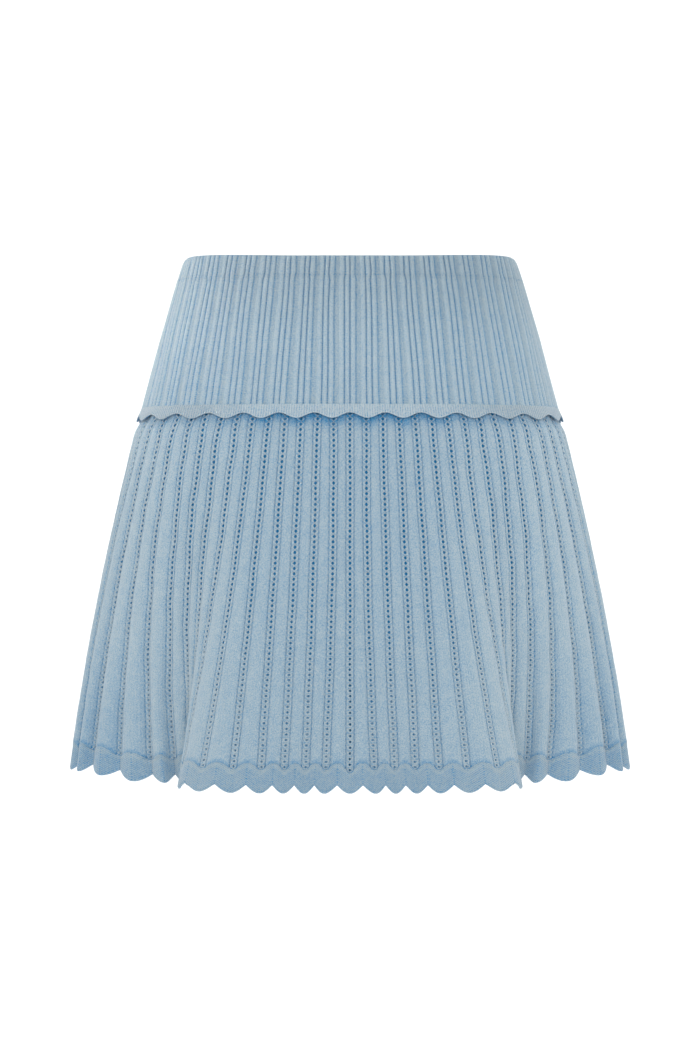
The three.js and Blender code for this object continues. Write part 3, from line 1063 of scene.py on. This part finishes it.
def openwork_shade(station, down, lane, number, in_hole, is_outer):
    """How much painted light and shade a panel's points get: painted shadows under the trim and
    above the seam, the folds' painted shade, dark painted holes and a painted neutral shade. Low
    down the holes are painted paler, apart from the centre column's, which are painted darker.
    """
    seam_darkness, seam_reach = SEAM_SHADOW
    above_seam = 1 - seam_darkness * bell(seam_line(station) - down, seam_reach)
    trim_darkness, trim_reach = TRIM_SHADOW
    trim_darkness = trim_darkness - TRIM_SHADOW_LOSS * smooth((number - 3) / 7)
    below_trim = np.maximum(down - trim_edge(station), 0)
    under_trim = 1 - trim_darkness * bell(below_trim, trim_reach)
    outer = np.interp(lane, *COLUMN_PAINTED_LIGHT) * under_trim * above_seam * fold_shade(station, down)

    fall = fall_share(down)
    closing = smooth((fall - 0.5) / 0.35)
    beside_centre = smooth(number / 0.5)
    uneven = WEB_LIGHT + WEB_LIGHT * np.sin(2.1 * number + 0.05 * down)
    in_web = (uneven + CLOSED_HOLE_LIGHT * closing) * beside_centre
    tone_and_painted_shade = np.where(is_outer, outer, np.where(in_hole, in_web, INSIDE_SHADE))
    at_centre = CLOSED_HOLE_LIGHT * closing * (1 - beside_centre)
    in_hollow = np.where(is_outer, 0.0, HOLLOW_SHADE + at_centre)
    return tone_and_painted_shade, np.where(in_hole, in_hollow, LOW_SHADE * fall)


def openwork_panel(side, tile, material):
    """A skirt panel: openwork columns between plain strips that belly out."""
    name = f"skirt_{side}_openwork"
    made, codes = flat_repeat(name, tile, COLUMNS_PER_PANEL, EYELET_ROWS, material)
    join_rims(made, codes, COLUMNS_PER_PANEL, EYELET_ROWS)
    level = codes[:, 2]
    columns = np.floor(np.clip(codes[:, 0], 0, COLUMNS_PER_PANEL - 1e-6))
    rows = np.floor(np.clip(codes[:, 1], 0, EYELET_ROWS - 1e-6))
    across = codes[:, 0] - columns - 0.5
    up = codes[:, 1] - rows - 0.5
    in_hole = (np.abs(across) < share_of(HOLE_REACH[0])) & (np.abs(up) < HOLE_REACH[1])
    size = np.where(in_hole, mix(LOWEST_HOLE_SIZE, 1, smooth(rows / EYELET_ROWS / 0.6)), 1)
    centre = at_panel(side, (columns + 0.5) / COLUMNS_PER_PANEL)
    height = EYELET_ROWS - rows - 0.5 - up * size
    station, down, lane = openwork_places(centre, across * size, height)

    number = from_centre(centre, COLUMNS_PER_QUARTER)
    wobble = 0.16 * np.sin(0.11 * down + 3.1 * number) + 0.1 * np.sin(0.31 * down + 1.7 * number)
    out = mix(-SKIRT_THICKNESS, np.interp(lane, *COLUMN_PROFILE) + wobble * 0.5, level)
    place_points(made, skirt_face(station, down, out))

    wale = codes[:, 0] * WALES_PER_PANEL
    course = codes[:, 1] * COURSES_PER_EYELET + COURSES_PER_EYELET / 2
    tone_and_painted_shade, neutral_shade = openwork_shade(station, down, lane, number, in_hole, level > 0.5)
    write_cloth(made, wale, course, lane, tone_and_painted_shade, FAR_FROM_EDGE, neutral_shade)
    smooth_faces(made)
    return made


def section_shares(stops, turn):
    """The shares down and through the cloth of each place on the way round its section."""
    at = np.arange(len(stops) + 1)
    down, through = np.array(stops + stops[:1]).T
    return np.interp(turn, at, down), np.interp(turn, at, through)


def folded_cloth(name, side, places, repeats, stops, face, describe, material):
    """A cloth with an outer and an inner face, folded round the stops of its section.

    face gives the points at a station and shares, and describe gives what the finish reads.
    Without a side the cloth goes all the way round.
    """
    tile = strip_tile(name + "_tile", places, (0, 1))
    made, codes = flat_repeat(name, tile, repeats, len(stops), material)
    bpy.data.objects.remove(tile)
    code = codes[:, 0]
    station = at_panel(side, code / repeats) if side else wrapped(-2 + 4 * code / repeats)
    down, through = section_shares(stops, codes[:, 1])
    place_points(made, face(station, down, through))
    write_cloth(made, *describe(station, down, through, code))
    close_mesh(made, ends=side is not None)
    return made


def evenly(low, high, count):
    return [mix(low, high, index / (count - 1)) for index in range(count)]


SCALLOP_PLACES = evenly(0, 1, 17)


# How far the ribs' lines jog at the casing and drift all along, how far from the casing the jog
# fades, and how far the ribs waver in and out, in millimetres.
CASING_JOG = 0.65
JOG_FADES_OVER = 7
RIB_DRIFT = 0.45
RIB_WAVER = 0.25


def rib_sway(station, level):
    """How far a rib's line sways, as a change of station. It jogs where it crosses the casing."""
    below = level - BAND_DEPTH
    jog = np.tanh((below - 0.5) / 1.2) * np.exp(-np.abs(below) / JOG_FADES_OVER)
    wriggle = np.sin(19 * math.pi * station) + 0.7 * np.sin(46 * math.pi * station)
    drift = np.sin(6 * math.pi * station) * np.sin(level * 0.05)
    return (CASING_JOG * wriggle * jog + RIB_DRIFT * drift) / QUARTER_LENGTH


def rib_drop(station, level):
    """How far the ribs' face lies below their ridges, a little less beside the casing's seam."""
    left = 1 - CASING_PINCH * bell(level - BAND_DEPTH, CASING_PINCH_REACH)
    return RIB_HEIGHT * (1 - rib_height(station)) * left


def waistband_face(station, down, through):
    """through is 0 on the outer face and 1 on the inner one. In front the rim is a little higher
    towards the sides.
    """
    from_middle = np.abs(station)
    rise = RIM_RISE * smooth((from_middle - 0.2) / 0.6) * (1 - smooth((from_middle - 0.7) / 0.3))
    level = mix(-rise, BAND_DEPTH - VISIBLE_GAP, down)
    out = -rib_drop(station, level) * (1 - through) - BAND_THICKNESS * through
    return offset(wrapped(station + rib_sway(station, level)), level, out)


def yoke_face(station, down, through):
    level = mix(BAND_DEPTH + VISIBLE_GAP, YOKE_END - VISIBLE_GAP, down)
    waver = np.sin(level * 0.07 + station * 9.0) * np.sin(level * 0.023 + station * 23.0)
    outer = -rib_drop(station, level) + RIB_WAVER * waver * np.sin(math.pi * down)
    out = outer * (1 - through) - YOKE_THICKNESS * through
    return offset(wrapped(station + rib_sway(station, level)), level, out)


def trim_face(station, down, through):
    level = mix(YOKE_END + VISIBLE_GAP, trim_edge(station), down)
    out = TRIM_FLARE * down - TRIM_THICKNESS * through
    return offset(station, level, out)


def border_face(station, down, through):
    level = mix(seam_line(station) + VISIBLE_GAP, hem_edge(station), down)
    column = from_centre(station, COLUMNS_PER_QUARTER)
    lift = BORDER_RIM * bell(down - 0.07, 0.08) * np.abs(np.sin(math.pi * column)) ** 0.5
    out = -SKIRT_THICKNESS * through + (lift - BORDER_SINK) * (1 - through)
    return skirt_face(station, level, out)


def section_stops(rows, roll_top, roll_bottom):
    """The way round a section, as shares down and through the cloth: up the outer face in so
    many rows, over the top, down the inner face and back under, with round edges.
    """
    outer = [(share, 0.0) for share in evenly(1 - roll_bottom, roll_top, rows)]
    top = [(0.0, 0.25), (0.0, 0.75)]
    inner = [(share, 1.0) for share in evenly(roll_top, 1 - roll_bottom, 4)]
    bottom = [(1.0, 0.75), (1.0, 0.25)]
    return outer + top + inner + bottom


# How light each cloth's face is, how much painted shade darkens its grooves and low bands, and how
# much painted highlight lightens its rims. A rim is given as its change, its share down and its
# width, the trim's painted underside shade as its light outside and the loss through to the inside,
# and the trim's painted neutral shade as that at the middle and at the sides. The rib's painted
# neutral shade lies in its low bands, towards the top and at the casing.
RIB_LIGHT = 0.92
GROOVE_SHADE = 0.66
BAND_BLUE_SHADE = 0.1
BAND_NEUTRAL_SHADE = 0.1
TOP_SHADE = 0.14
TOP_SHADE_DEPTH = 75
CASING_SHADE = 0.05
TRIM_LIGHT = 0.82
TRIM_TOP_HIGHLIGHT = (0.13, 0.08, 0.1)
TRIM_LOW_HIGHLIGHT = (0.2, 0.94, 0.05)
TRIM_UNDERSIDE_SHADE = (0.65, 0.8)
TRIM_SIDE_SHADE = (0.02, 0.15)
BORDER_LIGHT = 0.72
BORDER_TOP_HIGHLIGHT = (0.36, 0.08, 0.07)


# A painted highlight along a rim: its change, its share down and its width.
def rim_highlight(down, rim):
    change, place, width = rim
    return change * bell(down - place, width)


def rib_describer(top, bottom):
    """What the rib finish reads on a ribbed cloth between two levels: painted blue shade in the
    grooves, less of it in the low bands, and painted neutral shade in the low bands, towards the top
    and at the casing.
    """

    def describe(station, down, through, code):
        level = mix(top, bottom, down)
        band = low_band(station)
        groove = np.clip(groove_depth(station, 0.6), 0, 1)
        outer = RIB_LIGHT - GROOVE_SHADE * groove - BAND_BLUE_SHADE * band
        shade = np.where(through > 0.5, INSIDE_SHADE, outer)
        neutral_shade = BAND_NEUTRAL_SHADE * band + TOP_SHADE * (1 - smooth(level / TOP_SHADE_DEPTH))
        neutral_shade = neutral_shade + CASING_SHADE * bell(level - BAND_DEPTH, 1.5)
        return code * WALES_PER_RIB_REPEAT, level / COURSE, NO_LANE, shade, FAR_FROM_EDGE, neutral_shade

    return describe


def describe_trim(station, down, through, code):
    level = mix(YOKE_END, trim_edge(station), down)
    # Painted highlights along the trim's top and its lower edge, painted shade on its underside and
    # painted neutral shade towards its sides.
    outer = TRIM_LIGHT + rim_highlight(down, TRIM_TOP_HIGHLIGHT) + rim_highlight(down, TRIM_LOW_HIGHLIGHT)
    shade = np.where(through > 0.5, INSIDE_SHADE, outer)
    underneath = (down > 0.99) & (through > 0.1) & (through < 0.9)
    shade = np.where(underneath, TRIM_UNDERSIDE_SHADE[0] - TRIM_UNDERSIDE_SHADE[1] * through, shade)
    to_side = smooth((from_centre(station, 1.0) - 0.3) / 0.35)
    neutral_shade = mix(*TRIM_SIDE_SHADE, to_side)
    to_edge = trim_edge(station) - level
    return code * TRIM_WALES, level / COURSE, NO_LANE, shade, to_edge, neutral_shade


def describe_border(station, down, through, code):
    level = mix(seam_line(station), hem_edge(station), down)
    column = from_centre(station, COLUMNS_PER_QUARTER)
    lane = np.abs(column - np.round(column)) * STRIP_LANES
    # A painted highlight along the rim below the seam, and the folds' painted shade.
    outer = (BORDER_LIGHT + rim_highlight(down, BORDER_TOP_HIGHLIGHT)) * fold_shade(station, level)
    shade = np.where(through > 0.5, INSIDE_SHADE, outer)
    to_edge = hem_edge(station) - level
    return code * WALES_PER_PANEL, level / COURSE, lane, shade, to_edge, 0.0


def build_waistband(material):
    stops = section_stops(6, 0.14, 0.0005)
    describe = rib_describer(0.0, BAND_DEPTH)
    name = "waistband_rib"
    repeats = 4 * RIBS_PER_QUARTER
    return folded_cloth(
        name, None, RIB_PLACES, repeats, stops, waistband_face, describe, material
    )


def build_yoke(side, material):
    stops = section_stops(24, 0.0001, 0.0001)
    describe = rib_describer(BAND_DEPTH, YOKE_END)
    name = f"yoke_{side}_rib"
    repeats = 2 * RIBS_PER_QUARTER
    return folded_cloth(name, side, RIB_PLACES, repeats, stops, yoke_face, describe, material)


def build_trim(side, material):
    stops = section_stops(7, 0.001, 0.06)
    name = f"yoke_trim_{side}_knit"
    repeats = 2 * SCALLOPS_PER_QUARTER
    return folded_cloth(
        name, side, SCALLOP_PLACES, repeats, stops, trim_face, describe_trim, material
    )


def build_border(side, material):
    stops = section_stops(9, 0.01, 0.04)
    name = f"hem_border_{side}_knit"
    repeats = COLUMNS_PER_PANEL
    return folded_cloth(
        name, side, SCALLOP_PLACES, repeats, stops, border_face, describe_border, material
    )


# How far out each row of stitches lies, then its spacing and each stitch's length, width and
# height.
CASING_STITCH_OUT = -0.34
TRIM_STITCH_OUT = -0.12
BORDER_STITCH_OUT = -0.15
CASING_STITCHES = (2.1, (1.1, 0.8, 0.5))
TRIM_STITCHES = (1.5, (0.95, 0.6, 0.45))
BORDER_STITCHES = (1.3, (0.95, 0.6, 0.5))
STITCH_SIZE_CHANGE = 0.25


def stitch_shape(name, length, width, height):
    """One stitch: a small rounded loop of yarn that lies along z, the way that a row runs."""
    shape = bmesh.new()
    bmesh.ops.create_icosphere(shape, subdivisions=1, radius=0.5)
    for point in shape.verts:
        point.co = Vector((point.co.x * height, point.co.y * width, point.co.z * length))
    mesh = bpy.data.meshes.new(name)
    shape.to_mesh(mesh)
    shape.free()
    made = add_object(name, mesh)
    made.hide_render = True
    return made


def stitch_row(name, points, closed, spacing, size, thread):
    """A row of stitches along points given in millimetres."""
    curve = bpy.data.curves.new(name + "_line", "CURVE")
    curve.dimensions = "3D"
    line = curve.splines.new("POLY")
    line.points.add(len(points) - 1)
    flat = np.ones((len(points), 4))
    flat[:, :3] = points * MM
    line.points.foreach_set("co", flat.ravel())
    line.use_cyclic_u = closed
    seat = add_object(name + "_line", curve)
    stitch = stitch_shape(name + "_stitch", *(part * MM for part in size))
    values = {"Stitch": stitch, "Spacing": spacing * MM, "Size Change": STITCH_SIZE_CHANGE}
    made = STITCH_ROW.run(seat, {**values, "Seed": SEED, "Thread": thread}, name)
    bpy.data.objects.remove(seat)
    bpy.data.objects.remove(stitch)
    smooth_faces(made)
    return made


def seat_on_root(made):
    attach(made, ROOT)


def build_camera():
    camera = add_object("camera", bpy.data.cameras.new("camera"))
    camera.data.sensor_width = SENSOR
    camera.data.lens = SENSOR * CAMERA_DISTANCE / VIEW_HEIGHT
    camera.location = (0, -CAMERA_DISTANCE, CAMERA_HEIGHT)
    camera.rotation_euler = (math.pi / 2, 0, 0)
    bpy.context.scene.camera = camera


def area_light(name, place, target, size, power, colour, spread):
    light = bpy.data.lights.new(name, "AREA")
    light.shape = "RECTANGLE"
    light.size, light.size_y = size
    light.energy = power
    light.color = colour
    light.spread = math.radians(spread)
    made = add_object(name, light)
    made.location = place
    direction = Vector(target) - Vector(place)
    made.rotation_euler = direction.to_track_quat("-Z", "Y").to_euler()


# Each light: its name, its place, what it is aimed at, its width and height, its power, its
# colour and how wide it spreads.
MIDDLE = (0, 0, CAMERA_HEIGHT)
WARM = (1, 0.8, 0.6)
WHITE = (1, 1, 1)
LIGHTS = (
    ("left_softbox", (-2.3, -0.75, 0.1), MIDDLE, (1.4, 2.0), 17, WARM, 180),
    ("right_softbox", (2.3, -0.75, 0.1), MIDDLE, (1.4, 2.0), 17, WARM, 180),
    ("left_glow", (-1.6, -0.45, 0.1), (-0.12, -0.06, 0.01), (0.12, 0.12), 0.075, (1, 0.85, 0.7), 12),
    ("front_fill", (0, -2.8, 0.3), MIDDLE, (1.6, 1.0), 37, WHITE, 180),
    ("wall_wash", (0, 1.2, 1.8), (0, 3.0, 0.0), (5.0, 1.5), 32, WHITE, 180),
    ("floor_wash", (0, 0.9, 1.6), (0, 0.6, FLOOR_LEVEL), (5.0, 1.5), 60, WHITE, 180),
)
SKY_COLOUR = (0.84, 0.94, 1, 1)
SKY_STRENGTH = 0.5

# The stage: how far it reaches sideways and forwards, where its wall stands, how round the bend
# between them is and how high the wall goes.
STAGE_REACH = 6.0
WALL = 3.0
BEND = 1.5
BEND_STEPS = 12
WALL_HEIGHT = 5


def build_stage():
    """A pale floor well below that curves up into a pale wall, a bright world and soft lights."""
    profile = [(-STAGE_REACH, FLOOR_LEVEL), (WALL - BEND, FLOOR_LEVEL)]
    for step in range(1, BEND_STEPS + 1):
        turn = step / BEND_STEPS * math.pi / 2
        ahead = WALL - BEND + BEND * math.sin(turn)
        profile.append((ahead, FLOOR_LEVEL + BEND * (1 - math.cos(turn))))
    profile.append((WALL, FLOOR_LEVEL + WALL_HEIGHT))
    points = [(x, y, z) for y, z in profile for x in (-STAGE_REACH, STAGE_REACH)]
    starts = range(0, 2 * len(profile) - 2, 2)
    faces = [(start, start + 1, start + 3, start + 2) for start in starts]
    stage = new_mesh_object("stage_floor", points, faces)
    stage.data.materials.append(plain_finish("pale_paper", PAPER_WHITE, 0.9))
    smooth_faces(stage)

    world = bpy.data.worlds.new("pale_studio")
    bpy.context.scene.world = world
    world.use_nodes = True
    background = world.node_tree.nodes["Background"]
    background.inputs["Color"].default_value = SKY_COLOUR
    background.inputs["Strength"].default_value = SKY_STRENGTH
    for light in LIGHTS:
        area_light(*light)
    bpy.context.scene.view_settings.view_transform = "Standard"


def build_seams():
    """Rows of stitches: the casing's, the trim's and the border's."""
    linking = plain_finish("seam_yarn", LINKING_BLUE, 0.95)
    casing = plain_finish("casing_yarn", CASING_BLUE, 0.95)
    whole = np.linspace(-2, 2, 1201)[:-1]
    line = offset(whole, np.full_like(whole, BAND_DEPTH), CASING_STITCH_OUT)
    row = stitch_row("casing_stitches", line, True, *CASING_STITCHES, casing)
    seat_on_root(row)
    for side in ("front", "back"):
        station = at_panel(side, np.linspace(0, 1, 901))
        line = offset(station, np.full_like(station, YOKE_END), TRIM_STITCH_OUT)
        row = stitch_row(f"trim_linking_{side}", line, False, *TRIM_STITCHES, linking)
        seat_on_root(row)

        column = from_centre(station, COLUMNS_PER_QUARTER)
        sink = 1 - np.abs(np.sin(math.pi * column)) ** 0.5
        line = skirt_face(station, seam_line(station) + 0.5, BORDER_STITCH_OUT - 0.5 * sink)
        row = stitch_row(f"border_linking_{side}", line, False, *BORDER_STITCHES, linking)
        seat_on_root(row)


def build_cloth():
    rib_knit = knit_finish("rib_knit", RIB_BLUE, "rib")
    openwork_knit = knit_finish("openwork_knit", PANEL_BLUE, "openwork")
    edging_knit = knit_finish("edging_knit", BORDER_BLUE, "edging")
    trim_knit = knit_finish("trim_knit", TRIM_BLUE, "trim")

    band = build_waistband(rib_knit)
    seat_on_root(band)
    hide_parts("waistband")

    hole = openwork_tile("hole_tile")
    for side in ("front", "back"):
        yoke = build_yoke(side, rib_knit)
        seat_on_root(yoke)
        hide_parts(f"yoke_{side}")

        trim = build_trim(side, trim_knit)
        seat_on_root(trim)
        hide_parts(f"yoke_trim_{side}")

        panel = openwork_panel(side, hole, openwork_knit)
        seat_on_root(panel)
        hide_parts(f"skirt_{side}")

        border = build_border(side, edging_knit)
        seat_on_root(border)
        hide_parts(f"hem_border_{side}")
    bpy.data.objects.remove(hole)


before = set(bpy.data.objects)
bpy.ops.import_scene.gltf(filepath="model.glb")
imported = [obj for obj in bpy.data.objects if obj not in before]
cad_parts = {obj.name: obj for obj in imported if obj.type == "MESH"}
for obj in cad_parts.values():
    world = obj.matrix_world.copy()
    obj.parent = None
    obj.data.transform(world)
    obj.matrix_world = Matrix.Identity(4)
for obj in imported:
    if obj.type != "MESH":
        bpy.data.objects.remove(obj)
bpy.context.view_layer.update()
TILE_REPEAT = tile_repeat_tree()
STITCH_ROW = stitch_tree()
build_camera()
build_stage()
build_cloth()
build_seams()
